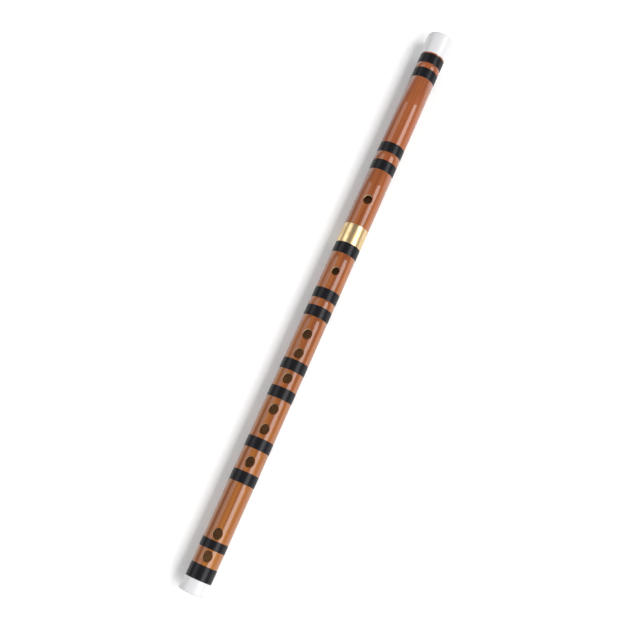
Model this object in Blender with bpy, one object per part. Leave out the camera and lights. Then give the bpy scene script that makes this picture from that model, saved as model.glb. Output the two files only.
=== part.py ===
"""Dizi: a bamboo transverse flute in two sections that meet at a brass tuning joint.

The flute lies along X with its head at -X, its foot at +X and its finger holes facing +Z.
The origin is on the axis of the bore, half way along the flute. All sizes are in metres.
"""
import math

import bmesh
import bpy
from mathutils import Matrix

MM = 0.001

# Bamboo tube
BAMBOO_DIAMETER = 21.0 * MM
BAMBOO_WALL = 3.2 * MM

# Clearance left between two pieces that seat on each other
SEAT_GAP = 0.3 * MM

# Thread bindings, let into grooves in the bamboo
BINDING_WIDTH = 9.2 * MM
END_HOLE_BINDING_WIDTH = 7.1 * MM
FOOT_BINDING_WIDTH = 10.9 * MM
GROOVE_DEPTH = 0.6 * MM
BINDING_CROWN = 0.1 * MM
BINDING_SHOULDER = 1.2 * MM

# End rings, each over a spigot turned on the end of the bamboo
HEAD_RING_LENGTH = 20.1 * MM
FOOT_RING_LENGTH = 11.0 * MM
RING_END_DIAMETER = 23.3 * MM
RING_STEP = 0.2 * MM
RING_LIP = 2.2 * MM
RING_EDGE_RADIUS = 1.4 * MM
RING_MOUTH_RADIUS = 0.6 * MM
SPIGOT_WALL = 1.6 * MM

# Brass tuning joint: a tenon glued into the head slides in a socket glued into the body
COLLAR_LENGTH = 17.4 * MM
SHANK_LENGTH = 9.0 * MM
SHANK_WALL = 0.6 * MM
TENON_WALL = 0.6 * MM
TENON_SEAT = 14.0 * MM
TENON_END_CLEARANCE = 1.0 * MM
BRASS_CHAMFER = 0.25 * MM

# Cork that closes the bore above the blow hole
STOPPER_LENGTH = 14.0 * MM
STOPPER_MARGIN = 2.0 * MM
STOPPER_CHAMFER = 0.6 * MM

# Holes: length along the flute, width across it
BLOW_HOLE = (8.9 * MM, 7.3 * MM)
MEMBRANE_HOLE = (7.7 * MM, 6.1 * MM)
FINGER_HOLE = (9.0 * MM, 7.4 * MM)
END_HOLE = (9.1 * MM, 7.6 * MM)
BACK_HOLE = (7.0 * MM, 6.0 * MM)
BACK_HOLE_SPACING = 16.0 * MM

# What one meets along the head section, below its ring:
# name, bare bamboo before it, its own length
HEAD_FEATURES = (
    ("binding_01", 1.1 * MM, BINDING_WIDTH),
    ("binding_02", 5.1 * MM, BINDING_WIDTH),
    ("binding_03", 65.7 * MM, BINDING_WIDTH),
    ("binding_04", 7.7 * MM, BINDING_WIDTH),
    ("blow_hole", 23.6 * MM, BLOW_HOLE[0]),
    ("head_end", 19.0 * MM, 0.0),
)

# The same along the body section, from the brass collar to the foot ring
BODY_FEATURES = (
    ("binding_05", 0.0, BINDING_WIDTH),
    ("membrane_hole", 12.2 * MM, MEMBRANE_HOLE[0]),
    ("binding_06", 12.5 * MM, BINDING_WIDTH),
    ("binding_07", 6.7 * MM, BINDING_WIDTH),
    ("finger_hole_6", 11.0 * MM, FINGER_HOLE[0]),
    ("finger_hole_5", 7.7 * MM, FINGER_HOLE[0]),
    ("binding_08", 1.4 * MM, BINDING_WIDTH),
    ("finger_hole_4", 2.2 * MM, FINGER_HOLE[0]),
    ("binding_09", 3.6 * MM, BINDING_WIDTH),
    ("finger_hole_3", 4.7 * MM, FINGER_HOLE[0]),
    ("finger_hole_2", 8.0 * MM, FINGER_HOLE[0]),
    ("binding_10", 3.1 * MM, BINDING_WIDTH),
    ("finger_hole_1", 6.1 * MM, FINGER_HOLE[0]),
    ("binding_11", 3.5 * MM, BINDING_WIDTH),
    ("end_hole_1", 36.9 * MM, END_HOLE[0]),
    ("binding_12", 0.7 * MM, END_HOLE_BINDING_WIDTH),
    ("end_hole_2", 1.0 * MM, END_HOLE[0]),
    ("binding_13", 2.6 * MM, FOOT_BINDING_WIDTH),
)

# Facets round a turned piece, round a hole, and along a rounded edge
TURNED_SIDES = 32
HOLE_SIDES = 20
EDGE_STEPS = 4
SMOOTH_ANGLE = math.radians(30.0)
MERGE_DISTANCE = 0.001 * MM

# Radii, all worked out from the sizes above
BAMBOO_RADIUS = BAMBOO_DIAMETER / 2
BORE_RADIUS = BAMBOO_RADIUS - BAMBOO_WALL
GROOVE_RADIUS = BAMBOO_RADIUS - GROOVE_DEPTH
SPIGOT_RADIUS = BORE_RADIUS + SPIGOT_WALL
TENON_RADIUS = BORE_RADIUS + TENON_WALL
SOCKET_RADIUS = TENON_RADIUS + SEAT_GAP
SHANK_RADIUS = SOCKET_RADIUS + SHANK_WALL
COUNTERBORE_RADIUS = SHANK_RADIUS + SEAT_GAP


def lay_out(features, start):
    """Place features one after another; return their spans and where the last one ends."""
    spans = {}
    station = start
    for name, bare, length in features:
        station += bare
        spans[name] = (station, station + length)
        station += length
    return spans, station


# Stations along the flute, measured from the head end
HEAD_SPANS, HEAD_TUBE_END = lay_out(HEAD_FEATURES, HEAD_RING_LENGTH)
COLLAR_START = HEAD_TUBE_END + SEAT_GAP
COLLAR_END = COLLAR_START + COLLAR_LENGTH
BODY_TUBE_START = COLLAR_END + SEAT_GAP
BODY_SPANS, BODY_SHOULDER = lay_out(BODY_FEATURES, BODY_TUBE_START)
FOOT_RING_START = BODY_SHOULDER + SEAT_GAP
FLUTE_LENGTH = FOOT_RING_START + FOOT_RING_LENGTH


def clear_scene():
    """Remove whatever the scene holds."""
    for item in list(bpy.data.objects):
        bpy.data.objects.remove(item, do_unlink=True)


def make_material(name, color, roughness, metallic=0.0, coat=0.0):
    """Make a Principled material."""
    material = bpy.data.materials.new(name)
    material.use_nodes = True
    shader = material.node_tree.nodes["Principled BSDF"]
    shader.inputs["Base Color"].default_value = (*color, 1.0)
    shader.inputs["Roughness"].default_value = roughness
    shader.inputs["Metallic"].default_value = metallic
    shader.inputs["Coat Weight"].default_value = coat
    material.diffuse_color = (*color, 1.0)
    return material


def make_section(name, station):
    """Make the empty that a section's pieces hang from, on the bore's axis."""
    section = bpy.data.objects.new(name, None)
    section.location.x = station - FLUTE_LENGTH / 2
    bpy.context.collection.objects.link(section)
    return section


def add_object(name, bm, station, material, section):
    """Turn a bmesh into an object whose origin is on the bore's axis at a station."""
    mesh = bpy.data.meshes.new(name)
    bm.to_mesh(mesh)
    bm.free()
    mesh.shade_smooth()
    mesh.set_sharp_from_angle(angle=SMOOTH_ANGLE)
    if material:
        mesh.materials.append(material)
    item = bpy.data.objects.new(name, mesh)
    item.parent = section
    item.location.x = station - FLUTE_LENGTH / 2 - section.location.x
    bpy.context.collection.objects.link(item)
    return item


def turn(name, outline, material, section):
    """Spin a closed outline of (station, radius) points once round the bore's axis."""
    start = min(station for station, radius in outline)
    half_facet = math.pi / TURNED_SIDES
    bm = bmesh.new()
    corners = []
    for station, radius in outline:
        place = (station - start, radius * math.sin(half_facet), radius * math.cos(half_facet))
        corners.append(bm.verts.new(place))
    edges = []
    for first, second in zip(corners, corners[1:] + corners[:1]):
        edges.append(bm.edges.new((first, second)))
    bmesh.ops.spin(
        bm,
        geom=corners + edges,
        cent=(0.0, 0.0, 0.0),
        axis=(1.0, 0.0, 0.0),
        angle=2 * math.pi,
        steps=TURNED_SIDES,
        use_merge=True,
    )
    bmesh.ops.remove_doubles(bm, verts=bm.verts, dist=MERGE_DISTANCE)
    bmesh.ops.recalc_face_normals(bm, faces=bm.faces)
    return add_object(name, bm, start, material, section)


def grooved_side(start, end, spans):
    """Outline of the bamboo's outside from start to end, with a groove for each binding."""
    points = [(start, BAMBOO_RADIUS)]
    for name, (low, high) in spans.items():
        if not name.startswith("binding"):
            continue
        low -= SEAT_GAP
        high += SEAT_GAP
        if low <= start:
            points = [(start, GROOVE_RADIUS)]
        else:
            points += [(low, BAMBOO_RADIUS), (low, GROOVE_RADIUS)]
        if high >= end:
            points.append((end, GROOVE_RADIUS))
            return points
        points += [(high, GROOVE_RADIUS), (high, BAMBOO_RADIUS)]
    points.append((end, BAMBOO_RADIUS))
    return points


def cut_hole(tube, name, span, width, top, section):
    """Cut one oval hole through the upper or the lower wall of a tube."""
    length = span[1] - span[0]
    depth = BAMBOO_RADIUS
    side = 1.0 if top else -1.0
    shape = Matrix.Translation((0.0, 0.0, side * depth)) @ Matrix.Diagonal((length, width, depth, 1.0))
    bm = bmesh.new()
    bmesh.ops.create_cone(
        bm,
        cap_ends=True,
        segments=HOLE_SIDES,
        radius1=0.5,
        radius2=0.5,
        depth=1.0,
        matrix=shape,
    )
    cutter = add_object(name + "_cutter", bm, (span[0] + span[1]) / 2, None, section)
    cutter.hide_render = True
    cutter.display_type = "WIRE"
    cut = tube.modifiers.new(name, "BOOLEAN")
    cut.operation = "DIFFERENCE"
    cut.solver = "EXACT"
    cut.object = cutter


def make_binding(name, span, material, section):
    """A crowned band of lacquered thread, lying in its groove."""
    low, high = span
    inner = GROOVE_RADIUS + SEAT_GAP
    outline = [
        (low, inner),
        (low, BAMBOO_RADIUS),
        (low + BINDING_SHOULDER, BAMBOO_RADIUS + BINDING_CROWN),
        (high - BINDING_SHOULDER, BAMBOO_RADIUS + BINDING_CROWN),
        (high, BAMBOO_RADIUS),
        (high, inner),
    ]
    return turn(name, outline, material, section)


def make_ring(name, mouth, end, material, section):
    """An end ring: it covers the spigot from its mouth, flares, and closes over the end grain."""
    outward = 1.0 if end > mouth else -1.0
    length = abs(end - mouth)
    socket = SPIGOT_RADIUS + SEAT_GAP
    lip = BORE_RADIUS
    outline = [(0.0, socket), (0.0, BAMBOO_RADIUS + RING_STEP)]
    for step in range(EDGE_STEPS + 1):
        angle = math.pi / 2 * step / EDGE_STEPS
        along = length - RING_EDGE_RADIUS * (1 - math.sin(angle))
        outline.append((along, RING_END_DIAMETER / 2 - RING_EDGE_RADIUS * (1 - math.cos(angle))))
    outline += [
        (length, lip + RING_MOUTH_RADIUS),
        (length - RING_MOUTH_RADIUS, lip),
        (length - RING_LIP, lip),
        (length - RING_LIP, socket),
    ]
    return turn(name, [(mouth + outward * along, radius) for along, radius in outline], material, section)


def make_head_tube(material, section):
    """The bamboo of the head: spigot for the ring, grooves, bore and the tenon's seat."""
    spigot_end = RING_LIP + SEAT_GAP
    shoulder = HEAD_RING_LENGTH + SEAT_GAP
    seat = HEAD_TUBE_END - TENON_SEAT - SEAT_GAP
    outline = [(spigot_end, BORE_RADIUS), (spigot_end, SPIGOT_RADIUS), (shoulder, SPIGOT_RADIUS)]
    outline += grooved_side(shoulder, HEAD_TUBE_END, HEAD_SPANS)
    outline += [(HEAD_TUBE_END, SOCKET_RADIUS), (seat, SOCKET_RADIUS), (seat, BORE_RADIUS)]
    tube = turn("head_tube", outline, material, section)
    cut_hole(tube, "blow_hole", HEAD_SPANS["blow_hole"], BLOW_HOLE[1], True, section)
    return tube


def make_body_tube(material, section):
    """The bamboo of the body: the shank's counterbore, grooves, spigot, bore and all its holes."""
    counterbore_end = BODY_TUBE_START + SHANK_LENGTH
    spigot_end = FLUTE_LENGTH - RING_LIP - SEAT_GAP
    outline = [
        (counterbore_end, BORE_RADIUS),
        (counterbore_end, COUNTERBORE_RADIUS),
        (BODY_TUBE_START, COUNTERBORE_RADIUS),
    ]
    outline += grooved_side(BODY_TUBE_START, BODY_SHOULDER, BODY_SPANS)
    outline += [(BODY_SHOULDER, SPIGOT_RADIUS), (spigot_end, SPIGOT_RADIUS), (spigot_end, BORE_RADIUS)]
    tube = turn("body_tube", outline, material, section)

    widths = {"membrane": MEMBRANE_HOLE[1], "finger": FINGER_HOLE[1], "end": END_HOLE[1]}
    for name, span in BODY_SPANS.items():
        kind = name.split("_")[0]
        if kind in widths:
            cut_hole(tube, name, span, widths[kind], True, section)

    # The back holes lie side by side behind the plain stretch above the end holes
    middle = (BODY_SPANS["binding_11"][1] + BODY_SPANS["end_hole_1"][0]) / 2
    for number, side in ((1, -1), (2, 1)):
        centre = middle + side * BACK_HOLE_SPACING / 2
        span = (centre - BACK_HOLE[0] / 2, centre + BACK_HOLE[0] / 2)
        cut_hole(tube, f"back_hole_{number}", span, BACK_HOLE[1], False, section)
    return tube


def make_joint_socket(material, section):
    """Brass socket: a collar flush with the bamboo, and a shank inside the body section."""
    shank_end = COLLAR_END + SHANK_LENGTH
    outline = [
        (COLLAR_START, SOCKET_RADIUS),
        (COLLAR_START, BAMBOO_RADIUS - BRASS_CHAMFER),
        (COLLAR_START + BRASS_CHAMFER, BAMBOO_RADIUS),
        (COLLAR_END - BRASS_CHAMFER, BAMBOO_RADIUS),
        (COLLAR_END, BAMBOO_RADIUS - BRASS_CHAMFER),
        (COLLAR_END, SHANK_RADIUS),
        (shank_end, SHANK_RADIUS),
        (shank_end, SOCKET_RADIUS),
    ]
    return turn("joint_socket", outline, material, section)


def make_joint_tenon(material, section):
    """Brass tenon: a plain tube with a chamfered nose."""
    seated_end = HEAD_TUBE_END - TENON_SEAT
    nose = COLLAR_END + SHANK_LENGTH - TENON_END_CLEARANCE
    outline = [
        (seated_end, BORE_RADIUS),
        (seated_end, TENON_RADIUS),
        (nose - BRASS_CHAMFER, TENON_RADIUS),
        (nose, TENON_RADIUS - BRASS_CHAMFER),
        (nose, BORE_RADIUS),
    ]
    return turn("joint_tenon", outline, material, section)


def make_stopper(material, section):
    """Cork plug just above the blow hole."""
    radius = BORE_RADIUS - SEAT_GAP
    high = HEAD_SPANS["blow_hole"][0] - STOPPER_MARGIN
    low = high - STOPPER_LENGTH
    outline = [
        (low, 0.0),
        (low, radius - STOPPER_CHAMFER),
        (low + STOPPER_CHAMFER, radius),
        (high - STOPPER_CHAMFER, radius),
        (high, radius - STOPPER_CHAMFER),
        (high, 0.0),
    ]
    return turn("stopper", outline, material, section)


def main():
    clear_scene()
    bamboo_head = make_material("bamboo_head", (0.42, 0.13, 0.045), 0.3, coat=0.8)
    bamboo_body = make_material("bamboo_body", (0.50, 0.17, 0.05), 0.3, coat=0.8)
    thread = make_material("lacquered_thread", (0.012, 0.012, 0.016), 0.35, coat=0.5)
    brass = make_material("polished_brass", (0.80, 0.58, 0.28), 0.2, metallic=1.0)
    white = make_material("white_ring", (0.86, 0.86, 0.85), 0.35)
    cork = make_material("cork", (0.48, 0.30, 0.16), 0.9)

    body = make_section("body_section", COLLAR_START)
    head = make_section("head_section", HEAD_TUBE_END)

    make_body_tube(bamboo_body, body)
    make_joint_socket(brass, body)
    make_ring("foot_ring", FOOT_RING_START, FLUTE_LENGTH, white, body)

    make_head_tube(bamboo_head, head)
    make_joint_tenon(brass, head)
    make_ring("head_ring", HEAD_RING_LENGTH, 0.0, white, head)
    make_stopper(cork, head)

    for spans, section in ((HEAD_SPANS, head), (BODY_SPANS, body)):
        for name, span in spans.items():
            if name.startswith("binding"):
                make_binding(name, span, thread, section)
    bpy.context.view_layer.update()


main()
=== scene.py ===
"""Looks of a dizi: lacquered bamboo, thread bindings, brass tuning joint, white end rings."""
from collections import namedtuple
import math

import bmesh
import bpy
from mathutils import Matrix, Vector


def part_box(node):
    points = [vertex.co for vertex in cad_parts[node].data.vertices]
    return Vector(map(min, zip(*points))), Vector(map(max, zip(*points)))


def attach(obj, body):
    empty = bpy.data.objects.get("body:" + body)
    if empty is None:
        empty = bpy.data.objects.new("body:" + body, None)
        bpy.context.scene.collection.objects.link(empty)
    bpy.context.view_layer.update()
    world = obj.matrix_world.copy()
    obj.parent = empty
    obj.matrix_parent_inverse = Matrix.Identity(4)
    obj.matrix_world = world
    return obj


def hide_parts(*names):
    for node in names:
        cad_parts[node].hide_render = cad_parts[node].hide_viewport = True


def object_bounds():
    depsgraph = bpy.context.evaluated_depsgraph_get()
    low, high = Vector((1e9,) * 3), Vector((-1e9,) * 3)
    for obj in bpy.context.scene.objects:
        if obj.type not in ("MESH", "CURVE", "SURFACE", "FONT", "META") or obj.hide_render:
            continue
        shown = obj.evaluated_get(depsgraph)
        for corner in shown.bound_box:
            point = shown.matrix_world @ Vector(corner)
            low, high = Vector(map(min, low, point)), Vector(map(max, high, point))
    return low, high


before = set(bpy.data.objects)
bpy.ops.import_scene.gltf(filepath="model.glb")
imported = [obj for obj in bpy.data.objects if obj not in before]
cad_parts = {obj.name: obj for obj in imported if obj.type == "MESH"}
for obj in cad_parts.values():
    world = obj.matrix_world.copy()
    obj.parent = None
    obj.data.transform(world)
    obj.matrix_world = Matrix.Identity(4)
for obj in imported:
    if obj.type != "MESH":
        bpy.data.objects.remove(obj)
CAD_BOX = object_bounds()
MM = 0.001

# Places along the flute, read from the frame
LAYOUT_GAP = 0.3 * MM
HEAD_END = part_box("head_ring")[0].x
FOOT_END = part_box("foot_ring")[1].x
HEAD_RING_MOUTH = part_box("head_ring")[1].x
FOOT_RING_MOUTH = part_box("foot_ring")[0].x
COLLAR_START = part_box("joint_socket")[0].x
COLLAR_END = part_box("binding_05")[0].x - LAYOUT_GAP
SHANK_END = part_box("joint_socket")[1].x
TENON_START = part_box("joint_tenon")[0].x
TENON_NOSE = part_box("joint_tenon")[1].x

# Radii of the real pieces, which touch where the frame leaves a gap
BAMBOO_RADIUS = 10.5 * MM
BORE_RADIUS = 7.3 * MM
GROOVE_RADIUS = 10.1 * MM
SPIGOT_RADIUS = 8.9 * MM
TENON_RADIUS = 7.9 * MM
SHANK_RADIUS = 8.8 * MM
RING_END_RADIUS = 11.65 * MM
RING_MOUTH_RADIUS = 10.7 * MM
CONTACT = 0.03 * MM
SEAT_SLACK = 0.1 * MM

# Edges and lips
RING_EDGE = 1.5 * MM
RING_LIP = 2.2 * MM
RING_BORE_EDGE = 0.6 * MM
RING_MOUTH_EDGE = 0.15 * MM
BAMBOO_END_EDGE = 0.1 * MM
BRASS_EDGE = 0.25 * MM
CORK_EDGE = 0.6 * MM
CORK_MIDDLE = 0.2 * MM
GROOVE_EDGE = 0.06 * MM
GROOVE_EDGE_DEPTH = 0.05 * MM
LEAST_BARE = 0.6 * MM

# Thread, wound side by side
BINDINGS = 13
HEAD_BINDINGS = 4
THREAD_PITCH = 0.36 * MM
THREAD_RIDGE = 0.035 * MM
ROWS_PER_TURN = 5
BINDING_CROWN = 0.06 * MM
BINDING_SINK = 0.03 * MM
BINDING_SIDE_GAP = 0.02 * MM

# Holes, on top of the flute or behind it
Hole = namedtuple("Hole", "middle half_length half_width on_top")
BLOW_HOLE = Hole(-87.20 * MM, 4.45 * MM, 3.65 * MM, True)
MEMBRANE_HOLE = Hole(-20.50 * MM, 3.85 * MM, 3.05 * MM, True)
FINGER_PLACES = (36.45, 53.15, 74.95, 101.45, 118.45, 145.85)
FINGER_HOLES = [Hole(place * MM, 4.5 * MM, 3.7 * MM, True) for place in FINGER_PLACES]
END_HOLES = [Hole(place * MM, 4.55 * MM, 3.8 * MM, True) for place in (204.50, 222.40)]
BACK_HOLES = [Hole(place * MM, 3.5 * MM, 3.0 * MM, False) for place in (173.5, 189.5)]
HEAD_HOLES = [BLOW_HOLE]
BODY_HOLES = [MEMBRANE_HOLE] + FINGER_HOLES + END_HOLES + BACK_HOLES

# How finely the meshes are made
COLUMNS = 96
RING_COLUMNS = 128
CORK_COLUMNS = 64
RING_STEPS = 8
WINDOW_COLUMNS = 10
WINDOW_ROWS = 14
WINDOW_MARGIN = 0.6 * MM
WINDOW_STEPS = 3
RIM_OUTER = 0.45 * MM
RIM_OUTER_STEPS = 5
RIM_INNER = 0.3 * MM
RIM_INNER_STEPS = 4
SHARP_ANGLE = 40.0

# Camera and studio
CAMERA_PLACE = (0.19815, 0.0872, 0.7657)
CAMERA_FORWARD = (-0.2283, -0.1113, -0.9677)
CAMERA_UP = (-0.8881, -0.3837, 0.2541)
CAMERA_SENSOR = 36.0
CAMERA_LENS = 56.3
CAMERA_SHIFT = (-0.0013, 0.0007)
CAMERA_NEAREST = 0.01
FLOOR_REACH = 4.0
FLOOR_GAP = 0.02 * MM
LIGHT_LENGTH = 2.2
SURROUND_STRENGTH = 0.28


# Shader nodes
class Value:
    """A socket that takes part in Python arithmetic by adding Math nodes."""

    def __init__(self, board, socket):
        self.board = board
        self.socket = socket

    def _math(self, operation, *others):
        return self.board.node("ShaderNodeMath", {"operation": operation}, others)

    def __add__(self, other):
        return self._math("ADD", self, other)

    __radd__ = __add__

    def __mul__(self, other):
        return self._math("MULTIPLY", self, other)

    __rmul__ = __mul__

    def __sub__(self, other):
        return self._math("SUBTRACT", self, other)

    def __rsub__(self, other):
        return self._math("SUBTRACT", other, self)

    def __pow__(self, other):
        return self._math("POWER", self, other)

    def __rpow__(self, other):
        return self._math("POWER", other, self)

    def step(self, low, high):
        """Smooth step of this value from low to high."""
        settings = {"interpolation_type": "SMOOTHSTEP"}
        return self.board.node("ShaderNodeMapRange", settings, (self, low, high, 0.0, 1.0))


class Board:
    """A material's nodes, made by one method."""

    def __init__(self, name):
        self.material = bpy.data.materials.new(name)
        self.material.use_nodes = True
        self.tree = self.material.node_tree
        self.shader = self.tree.nodes["Principled BSDF"]
        self.place = self.node("ShaderNodeTexCoord", {}, (), "Object")

    def node(self, kind, settings, inputs, output=0):
        """Make a node from its type, its settings and what goes into its sockets."""
        made = self.tree.nodes.new(kind)
        for key, value in settings.items():
            setattr(made, key, value)
        pairs = inputs.items() if isinstance(inputs, dict) else enumerate(inputs)
        for key, value in pairs:
            self.feed(made.inputs[key], value)
        return Value(self, made.outputs[output])

    def feed(self, socket, value):
        if isinstance(value, Value):
            self.tree.links.new(value.socket, socket)
        else:
            socket.default_value = value

    def set(self, **values):
        """Set or feed the shader's sockets, named with underscores."""
        for key, value in values.items():
            self.feed(self.shader.inputs[key.replace("_", " ")], value)

    def noise(self, stretch, detail, roughness=0.5):
        """Noise over the piece, whose place is first multiplied by stretch."""
        place = self.node("ShaderNodeVectorMath", {"operation": "MULTIPLY"}, (self.place, stretch))
        inputs = {"Vector": place, "Scale": 1.0, "Detail": detail, "Roughness": roughness}
        return self.node("ShaderNodeTexNoise", {}, inputs, "Fac")

    def mix(self, factor, first, second):
        """A colour between two, each one a value or red, green and blue."""
        colors = [color if isinstance(color, Value) else (*color, 1.0) for color in (first, second)]
        settings = {"data_type": "RGBA", "clamp_factor": True}
        return self.node("ShaderNodeMix", settings, {0: factor, 6: colors[0], 7: colors[1]}, 2)

    def bump(self, height, strength, distance):
        inputs = {"Strength": strength, "Distance": distance, "Height": height}
        return self.node("ShaderNodeBump", {}, inputs, "Normal")

    def split(self):
        """The x, y and z of the place on the piece."""
        first = self.node("ShaderNodeSeparateXYZ", {}, (self.place,))
        return [Value(self, output) for output in first.socket.node.outputs]


# Materials
def bamboo_material():
    """Brown bamboo with lengthwise fibres under clear lacquer; bare and paler inside the bore."""
    board = Board("lacquered_bamboo")
    x, y, z = board.split()
    fibre = board.noise((6.0, 900.0, 900.0), 5.0, 0.6)
    fine = board.noise((25.0, 3000.0, 3000.0), 3.0, 0.6)
    streak = board.noise((3.0, 190.0, 190.0), 3.0)
    cloud = board.noise((9.0, 40.0, 40.0), 3.0)
    fleck = board.noise((60.0, 1800.0, 1800.0), 2.0).step(0.62, 0.72)
    toward_foot = x.step(-0.26, 0.26)
    red = board.mix(streak.step(0.38, 0.62), (0.17, 0.036, 0.009), (0.32, 0.086, 0.024))
    tan = board.mix(streak.step(0.38, 0.62), (0.21, 0.060, 0.007), (0.33, 0.120, 0.017))
    color = board.mix(toward_foot, red, tan)
    color = board.mix(fibre.step(0.35, 0.7) * 0.45, color, (0.17, 0.034, 0.007))
    color = board.mix(fine.step(0.45, 0.75) * 0.25, color, (0.38, 0.12, 0.034))
    color = board.mix(fleck * 0.4, color, (0.07, 0.016, 0.005))
    color = board.mix(cloud.step(0.45, 0.75) * 0.25, color, (0.20, 0.050, 0.011))
    radius = (y * y + z * z) ** 0.5
    skin = radius.step(BAMBOO_RADIUS - 1.2 * MM, BAMBOO_RADIUS - 0.5 * MM)
    bare = board.mix(fine, (0.60, 0.42, 0.26), (0.78, 0.60, 0.41))
    color = board.mix(skin, bare, color)
    board.set(
        Base_Color=color,
        Roughness=0.62 - skin * 0.27 + fine * 0.06,
        Specular_IOR_Level=0.15,
        Coat_Weight=skin * 0.95,
        Coat_IOR=1.46,
        Coat_Roughness=0.035,
        Normal=board.bump(fibre * 0.6 + fine * 0.4, 0.12, 0.08 * MM),
    )
    return board.material


def thread_material():
    """Black thread under clear lacquer."""
    board = Board("lacquered_thread")
    strand = board.noise((5200.0, 260.0, 260.0), 2.0)
    patch = board.noise((120.0, 120.0, 120.0), 3.0)
    board.set(
        Base_Color=board.mix(strand, (0.002, 0.002, 0.003), (0.009, 0.009, 0.012)),
        Roughness=0.34 + patch * 0.16,
        Specular_IOR_Level=0.1,
        Coat_Weight=0.15 + patch * 0.2,
        Coat_IOR=1.4,
        Coat_Roughness=0.14,
        Normal=board.bump(strand, 0.25, 0.03 * MM),
    )
    return board.material


def brass_material():
    """Turned and polished brass with faint rings left by the tool and a little tarnish."""
    board = Board("polished_brass")
    turned = board.noise((4200.0, 14.0, 14.0), 3.0, 0.6)
    stain = board.noise((160.0, 160.0, 160.0), 4.0, 0.55)
    board.set(
        Base_Color=board.mix(stain.step(0.35, 0.75), (0.72, 0.54, 0.30), (0.60, 0.41, 0.19)),
        Metallic=1.0,
        Roughness=0.28 + stain.step(0.4, 0.8) * 0.10 + turned * 0.05,
        Normal=board.bump(turned, 0.10, 0.03 * MM),
    )
    return board.material


def resin_material():
    """Satin white resin with a trace of handling."""
    board = Board("white_resin")
    cloud = board.noise((90.0, 90.0, 90.0), 3.0)
    grain = board.noise((1500.0, 1500.0, 1500.0), 2.0)
    board.set(
        Base_Color=board.mix(cloud, (0.54, 0.54, 0.55), (0.59, 0.59, 0.60)),
        Roughness=0.32 + cloud * 0.12,
        Coat_Weight=0.2,
        Coat_Roughness=0.2,
        Normal=board.bump(grain, 0.05, 0.02 * MM),
    )
    return board.material


def cork_material():
    """Granular cork with dark pores."""
    board = Board("cork")
    grain = board.noise((520.0, 520.0, 520.0), 3.0, 0.6)
    pore = board.noise((900.0, 900.0, 900.0), 2.0).step(0.6, 0.68)
    color = board.mix(grain, (0.30, 0.165, 0.075), (0.52, 0.33, 0.17))
    color = board.mix(pore * 0.8, color, (0.09, 0.045, 0.02))
    board.set(Base_Color=color, Roughness=0.88, Normal=board.bump(grain - pore, 0.5, 0.3 * MM))
    return board.material


def floor_material():
    """Matt and nearly white."""
    board = Board("pale_floor")
    speck = board.noise((30.0, 30.0, 30.0), 2.0)
    board.set(Base_Color=board.mix(speck, (0.90, 0.90, 0.90), (0.92, 0.92, 0.92)), Roughness=0.9)
    return board.material


# Meshes
def finish_mesh(name, verts, faces, material, body, node):
    """Make a piece, let it stand for its node and ride on its body."""
    mesh = bpy.data.meshes.new(name)
    mesh.from_pydata(verts, [], faces)
    bm = bmesh.new()
    bm.from_mesh(mesh)
    bmesh.ops.recalc_face_normals(bm, faces=bm.faces)
    bm.to_mesh(mesh)
    bm.free()
    mesh.shade_smooth()
    mesh.set_sharp_from_angle(angle=math.radians(SHARP_ANGLE))
    mesh.materials.append(material)
    piece = bpy.data.objects.new(name, mesh)
    bpy.context.scene.collection.objects.link(piece)
    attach(piece, body)
    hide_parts(node)


def around(x, radius, column, columns=COLUMNS):
    """A point on the turned surface; column 0 is on top."""
    angle = 2 * math.pi * column / columns
    return (x, radius * math.sin(angle), radius * math.cos(angle))


def turned_points(outline, columns=COLUMNS):
    """Each (x, radius) point of an outline, taken once round the bore's axis."""
    return [around(x, radius, column, columns) for x, radius in outline for column in range(columns)]


def grid_faces(rows, columns=COLUMNS, closed=True, skipped=()):
    """Faces between rows of points; closed joins the last row to the first."""
    faces = []
    for row in range(rows if closed else rows - 1):
        below = (row + 1) % rows
        for column in range(columns):
            if (row, column) in skipped:
                continue
            beside = (column + 1) % columns
            faces.append((
                row * columns + column,
                row * columns + beside,
                below * columns + beside,
                below * columns + column,
            ))
    return faces


def turned_piece(name, outline, material, body, node):
    """A closed outline turned about the bore's axis."""
    verts = turned_points(outline, RING_COLUMNS)
    faces = grid_faces(len(outline), RING_COLUMNS)
    finish_mesh(name, verts, faces, material, body, node)


def arc(cx, cy, radius, start, end, steps=4):
    """Points along a quarter or so of a circle, in degrees."""
    points = []
    for step in range(steps + 1):
        angle = math.radians(start + (end - start) * step / steps)
        points.append((cx + radius * math.cos(angle), cy + radius * math.sin(angle)))
    return points


# Bamboo with its holes
def insert_rows(side, holes, radius):
    """Add each hole's rows to one side of a tube's outline; return it and each hole's first row."""
    rising = side[-1][0] > side[0][0]
    for hole in holes:
        reach = hole.half_length + WINDOW_MARGIN
        steps = range(WINDOW_ROWS + 1)
        rows = [(hole.middle - reach + 2 * reach * step / WINDOW_ROWS, radius) for step in steps]
        if not rising:
            rows.reverse()
        index = 0
        while (side[index][0] < rows[0][0]) == rising:
            index += 1
        side = side[:index] + rows + side[index:]
    firsts = []
    for hole in holes:
        reach = hole.half_length + WINDOW_MARGIN
        edge = hole.middle - reach if rising else hole.middle + reach
        firsts.append(min(range(len(side)), key=lambda i: abs(side[i][0] - edge)))
    return side, firsts


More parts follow.
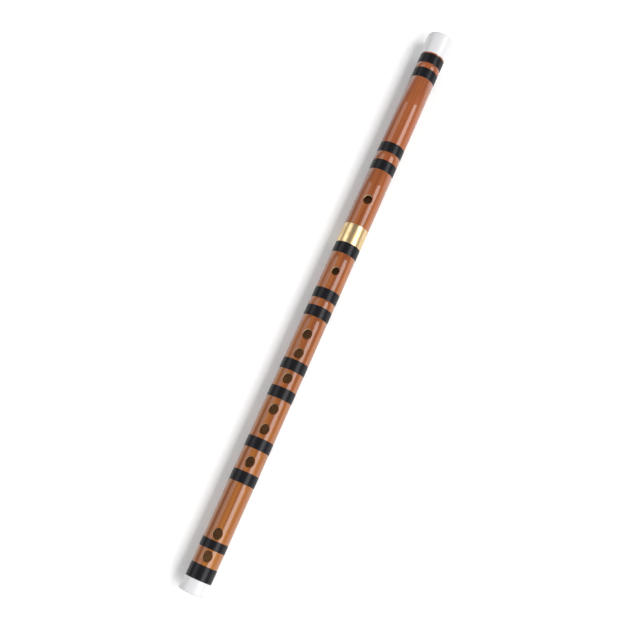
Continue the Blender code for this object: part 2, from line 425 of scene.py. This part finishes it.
def drilled_tube(name, outer, inner, holes, material, body, node):
    """A tube whose oval holes have rounded lips: a grid with a patch of loops for each hole."""
    outer, outer_firsts = insert_rows(outer, holes, BAMBOO_RADIUS)
    inner, inner_firsts = insert_rows(inner, holes, BORE_RADIUS)
    outline = outer + inner
    verts = turned_points(outline)
    faces = []
    skipped = set()
    for hole, outer_first, inner_first in zip(holes, outer_firsts, inner_firsts):
        centre = 0 if hole.on_top else COLUMNS // 2
        inner_first += len(outer)
        for first in (outer_first, inner_first):
            for row in range(first, first + WINDOW_ROWS):
                for column in range(centre - WINDOW_COLUMNS, centre + WINDOW_COLUMNS):
                    skipped.add((row, column % COLUMNS))
        add_hole(verts, faces, hole, outer_first, inner_first, centre)
    faces += grid_faces(len(outline), skipped=skipped)
    finish_mesh(name, verts, faces, material, body, node)


def window_loop(first, centre, rising):
    """The grid's points round a hole's window, in order."""
    loop = []
    for step in range(-WINDOW_COLUMNS, WINDOW_COLUMNS):
        loop.append((0, step))
    for step in range(WINDOW_ROWS):
        loop.append((step, WINDOW_COLUMNS))
    for step in range(WINDOW_COLUMNS, -WINDOW_COLUMNS, -1):
        loop.append((WINDOW_ROWS, step))
    for step in range(WINDOW_ROWS, 0, -1):
        loop.append((step, -WINDOW_COLUMNS))
    points = []
    for along, across in loop:
        row = first + (along if rising else WINDOW_ROWS - along)
        points.append(row * COLUMNS + (centre + across) % COLUMNS)
    return points


def add_hole(verts, faces, hole, outer_first, inner_first, centre):
    """Loops from the outer window over the rounded lip, down the wall and out to the bore's window."""
    side = 1.0 if hole.on_top else -1.0
    outer_loop = window_loop(outer_first, centre, True)
    inner_loop = window_loop(inner_first, centre, False)
    count = len(outer_loop)
    reach = hole.half_length + WINDOW_MARGIN
    widest = BAMBOO_RADIUS * math.sin(2 * math.pi * WINDOW_COLUMNS / COLUMNS)
    angles = []
    for index in outer_loop:
        x, y = verts[index][:2]
        angles.append(math.atan2(y / widest, (x - hole.middle) / reach))

    def on_surface(x, y, radius):
        return (x, y, side * math.sqrt(max(radius * radius - y * y, 0.0)))

    def oval(grow, angle):
        x = hole.middle + (hole.half_length + grow) * math.cos(angle)
        return (x, (hole.half_width + grow) * math.sin(angle))

    def blend_loops(window, grow, radius):
        """Loops on the tube's surface between the window and the lip."""
        loops = []
        for step in range(1, WINDOW_STEPS):
            share = step / WINDOW_STEPS
            loop = []
            for index, angle in zip(window, angles):
                x0, y0 = verts[index][:2]
                x1, y1 = oval(grow, angle)
                loop.append(on_surface(x0 + (x1 - x0) * share, y0 + (y1 - y0) * share, radius))
            loops.append(loop)
        return loops

    def lip_loops(grow, radius, inward, steps):
        """Loops over a rounded lip, from the tube's surface to the hole's wall."""
        loops = []
        for step in range(steps + 1):
            share = step / steps
            loop = []
            for angle in angles:
                flat = Vector(on_surface(*oval(grow, angle), radius))
                corner = Vector(on_surface(*oval(0.0, angle), radius))
                wall = corner + Vector((0.0, 0.0, inward * grow))
                point = flat * (1 - share) ** 2 + corner * 2 * share * (1 - share) + wall * share**2
                loop.append(tuple(point))
            loops.append(loop)
        return loops

    loops = blend_loops(outer_loop, RIM_OUTER, BAMBOO_RADIUS)
    loops += lip_loops(RIM_OUTER, BAMBOO_RADIUS, -side, RIM_OUTER_STEPS)
    loops += reversed(lip_loops(RIM_INNER, BORE_RADIUS, side, RIM_INNER_STEPS))
    loops += reversed(blend_loops(inner_loop, RIM_INNER, BORE_RADIUS))
    previous = outer_loop
    for loop in loops:
        current = list(range(len(verts), len(verts) + count))
        verts.extend(loop)
        join_loops(faces, previous, current)
        previous = current
    join_loops(faces, previous, inner_loop)


def join_loops(faces, first, second):
    count = len(first)
    for i in range(count):
        j = (i + 1) % count
        faces.append((first[i], first[j], second[j], second[i]))


def grooved(start, end, numbers):
    """The bamboo's outside from start to end, let in under each binding."""
    edge_radius = BAMBOO_RADIUS - GROOVE_EDGE_DEPTH
    points = [(start, BAMBOO_RADIUS)]
    for number in numbers:
        low, high = binding_ends(number)
        if low - start < LEAST_BARE:
            points = [(start, GROOVE_RADIUS)]
        else:
            points += [(low - GROOVE_EDGE, BAMBOO_RADIUS), (low, edge_radius), (low, GROOVE_RADIUS)]
        if end - high < LEAST_BARE:
            points.append((end, GROOVE_RADIUS))
            return points
        points += [(high, GROOVE_RADIUS), (high, edge_radius), (high + GROOVE_EDGE, BAMBOO_RADIUS)]
    points.append((end, BAMBOO_RADIUS))
    return points


def make_head_tube(material):
    """Head section: spigot for its ring, grooves, blow hole, and the tenon's seat."""
    spigot = HEAD_END + RING_LIP + CONTACT
    shoulder = HEAD_RING_MOUTH + CONTACT
    end = COLLAR_START - CONTACT
    seat = TENON_START - SEAT_SLACK
    seat_radius = TENON_RADIUS + CONTACT
    outer = [(spigot, SPIGOT_RADIUS), (shoulder, SPIGOT_RADIUS)]
    outer += grooved(shoulder, end, range(1, HEAD_BINDINGS + 1))[:-1]
    outer += [(end - BAMBOO_END_EDGE, BAMBOO_RADIUS), (end, BAMBOO_RADIUS - BAMBOO_END_EDGE)]
    inner = [(end, seat_radius), (seat, seat_radius), (seat, BORE_RADIUS), (spigot, BORE_RADIUS)]
    drilled_tube("head_bamboo", outer, inner, HEAD_HOLES, material, "head", "head_tube")


def make_body_tube(material):
    """Body section: counterbore for the shank, grooves, holes, and a spigot for its ring."""
    start = COLLAR_END + CONTACT
    shoulder = FOOT_RING_MOUTH - CONTACT
    spigot = FOOT_END - RING_LIP - CONTACT
    counterbore = SHANK_END + SEAT_SLACK
    counterbore_radius = SHANK_RADIUS + CONTACT
    outer = grooved(start, shoulder, range(HEAD_BINDINGS + 1, BINDINGS + 1))
    outer += [(shoulder, SPIGOT_RADIUS), (spigot, SPIGOT_RADIUS)]
    inner = [(spigot, BORE_RADIUS), (counterbore, BORE_RADIUS)]
    inner += [(counterbore, counterbore_radius), (start, counterbore_radius)]
    drilled_tube("body_bamboo", outer, inner, BODY_HOLES, material, "body", "body_tube")


# Bindings
def binding_ends(number):
    """Where a binding starts and ends in the frame."""
    low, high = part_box(f"binding_{number:02d}")
    return low.x, high.x


def make_binding(number, material):
    """Turns of thread wound side by side, each a low rounded ridge under lacquer."""
    low, high = binding_ends(number)
    low += BINDING_SIDE_GAP
    high -= BINDING_SIDE_GAP
    if number == HEAD_BINDINGS + 1:
        low = COLLAR_END + CONTACT
    if number == BINDINGS:
        high = FOOT_RING_MOUTH - CONTACT
    turns = round((high - low) / THREAD_PITCH)
    steps = turns * ROWS_PER_TURN
    verts = []
    for step in range(steps + 1):
        share = step / steps
        x = low + (high - low) * share
        crown = BINDING_CROWN * (1 - (2 * share - 1) ** 6)
        for column in range(COLUMNS):
            turn = (x - low) / (high - low) * turns + column / COLUMNS
            ridge = THREAD_RIDGE * abs(math.sin(math.pi * turn))
            verts.append(around(x, BAMBOO_RADIUS - BINDING_SINK + crown + ridge, column))
    inside = GROOVE_RADIUS + CONTACT
    verts += turned_points([(high, inside), (low, inside)])
    faces = grid_faces(steps + 3)
    body = "head" if number <= HEAD_BINDINGS else "body"
    name = f"{number:02d}"
    finish_mesh(f"thread_{name}", verts, faces, material, body, f"binding_{name}")


# Rings, brass and cork
def make_ring(name, node, mouth, end, material, body):
    """White end ring: flared outside, rounded outer edge, soft lip round the bore."""
    outward = 1.0 if end > mouth else -1.0
    length = abs(end - mouth)
    socket_radius = SPIGOT_RADIUS + CONTACT
    flare = RING_END_RADIUS - RING_MOUTH_RADIUS
    outline = [(0.0, socket_radius), (0.0, RING_MOUTH_RADIUS - RING_MOUTH_EDGE)]
    outline += [(RING_MOUTH_EDGE, RING_MOUTH_RADIUS)]
    for step in range(1, RING_STEPS):
        share = step / RING_STEPS
        outline.append((share * (length - RING_EDGE), RING_MOUTH_RADIUS + flare * share))
    outline += arc(length - RING_EDGE, RING_END_RADIUS - RING_EDGE, RING_EDGE, 90, 0, 10)
    lip = arc(RING_BORE_EDGE, BORE_RADIUS + RING_BORE_EDGE, RING_BORE_EDGE, 180, 270, 5)
    outline += [(length - along, radius) for along, radius in lip]
    outline += [(length - RING_LIP, BORE_RADIUS), (length - RING_LIP, socket_radius)]
    points = [(mouth + outward * along, radius) for along, radius in outline]
    turned_piece(name, points, material, body, node)


def make_socket(material):
    """Brass collar flush with the bamboo, and the shank inside the body section."""
    inner = TENON_RADIUS + CONTACT
    edge = BAMBOO_RADIUS - BRASS_EDGE
    outline = [(COLLAR_START, inner), (COLLAR_START, edge)]
    outline += arc(COLLAR_START + BRASS_EDGE, edge, BRASS_EDGE, 180, 90)[1:]
    outline += arc(COLLAR_END - BRASS_EDGE, edge, BRASS_EDGE, 90, 0)
    outline += [(COLLAR_END, SHANK_RADIUS), (SHANK_END, SHANK_RADIUS), (SHANK_END, inner)]
    turned_piece("brass_socket", outline, material, "body", "joint_socket")


def make_tenon(material):
    """Thin brass tube with a rounded nose."""
    outline = [(TENON_START, BORE_RADIUS), (TENON_START, TENON_RADIUS)]
    outline += arc(TENON_NOSE - BRASS_EDGE, TENON_RADIUS - BRASS_EDGE, BRASS_EDGE, 90, 0)
    outline += [(TENON_NOSE, BORE_RADIUS)]
    turned_piece("brass_tenon", outline, material, "tenon", "joint_tenon")


def make_stopper(material):
    """Cork plug with softened ends."""
    low, high = [corner.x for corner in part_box("stopper")]
    edge = BORE_RADIUS - CONTACT - CORK_EDGE
    outline = [(low, CORK_MIDDLE), (low, edge)]
    outline += arc(low + CORK_EDGE, edge, CORK_EDGE, 180, 90)[1:]
    outline += arc(high - CORK_EDGE, edge, CORK_EDGE, 90, 0)
    outline += [(high, CORK_MIDDLE)]
    rows = len(outline)
    verts = turned_points(outline, CORK_COLUMNS)
    faces = grid_faces(rows, CORK_COLUMNS, closed=False)
    faces.append(tuple(range(CORK_COLUMNS)))
    faces.append(tuple((rows - 1) * CORK_COLUMNS + column for column in range(CORK_COLUMNS)))
    finish_mesh("cork_stopper", verts, faces, material, "cork", "stopper")


# Camera, lights and floor
def facing(place, right, up, back):
    """A matrix that puts a camera or a light in its place."""
    return Matrix.Translation(place) @ Matrix((right, up, back)).transposed().to_4x4()


def make_camera():
    """The photograph's viewing angle: nearly square on to the holes, from over the foot's half."""
    back = -Vector(CAMERA_FORWARD).normalized()
    right = Vector(CAMERA_UP).cross(back).normalized()
    data = bpy.data.cameras.new("camera")
    data.sensor_width = CAMERA_SENSOR
    data.lens = CAMERA_LENS
    data.clip_start = CAMERA_NEAREST
    data.shift_x, data.shift_y = CAMERA_SHIFT
    camera = bpy.data.objects.new("camera", data)
    camera.matrix_world = facing(CAMERA_PLACE, right, back.cross(right), back)
    bpy.context.scene.collection.objects.link(camera)
    bpy.context.scene.camera = camera


def make_light(name, place, width, power):
    """A soft box that looks at the middle of the flute, with its long side along it."""
    data = bpy.data.lights.new(name, "AREA")
    data.shape = "RECTANGLE"
    data.size = LIGHT_LENGTH
    data.size_y = width
    data.energy = power
    light = bpy.data.objects.new(name, data)
    back = Vector(place).normalized()
    along = Vector((1.0, 0.0, 0.0))
    right = (along - back * along.dot(back)).normalized()
    light.matrix_world = facing(place, right, back.cross(right), back)
    bpy.context.scene.collection.objects.link(light)


def make_floor():
    """A wide pale floor just under the flute."""
    low = CAD_BOX[0][2] - FLOOR_GAP
    corners = []
    for x, y in ((-1, -1), (1, -1), (1, 1), (-1, 1)):
        corners.append((x * FLOOR_REACH, y * FLOOR_REACH, low))
    mesh = bpy.data.meshes.new("floor")
    mesh.from_pydata(corners, [], [(0, 1, 2, 3)])
    mesh.materials.append(floor_material())
    floor = bpy.data.objects.new("floor", mesh)
    bpy.context.scene.collection.objects.link(floor)


def make_surround():
    """Even white light from all around."""
    world = bpy.data.worlds.new("surround")
    bpy.context.scene.world = world
    world.use_nodes = True
    background = world.node_tree.nodes["Background"]
    background.inputs["Color"].default_value = (1.0, 1.0, 1.0, 1.0)
    background.inputs["Strength"].default_value = SURROUND_STRENGTH
    bpy.context.scene.view_settings.view_transform = "Standard"


def main():
    bamboo = bamboo_material()
    thread = thread_material()
    brass = brass_material()
    resin = resin_material()
    cork = cork_material()
    make_head_tube(bamboo)
    make_body_tube(bamboo)
    for number in range(1, BINDINGS + 1):
        make_binding(number, thread)
    make_ring("white_head_ring", "head_ring", HEAD_RING_MOUTH, HEAD_END, resin, "head")
    make_ring("white_foot_ring", "foot_ring", FOOT_RING_MOUTH, FOOT_END, resin, "body")
    make_socket(brass)
    make_tenon(brass)
    make_stopper(cork)
    make_camera()
    make_floor()
    make_light("right_box", (0.1, 0.73, 0.79), 0.60, 23.0)
    make_light("left_box", (0.1, -0.85, 0.75), 0.7, 9.0)
    make_surround()


main()
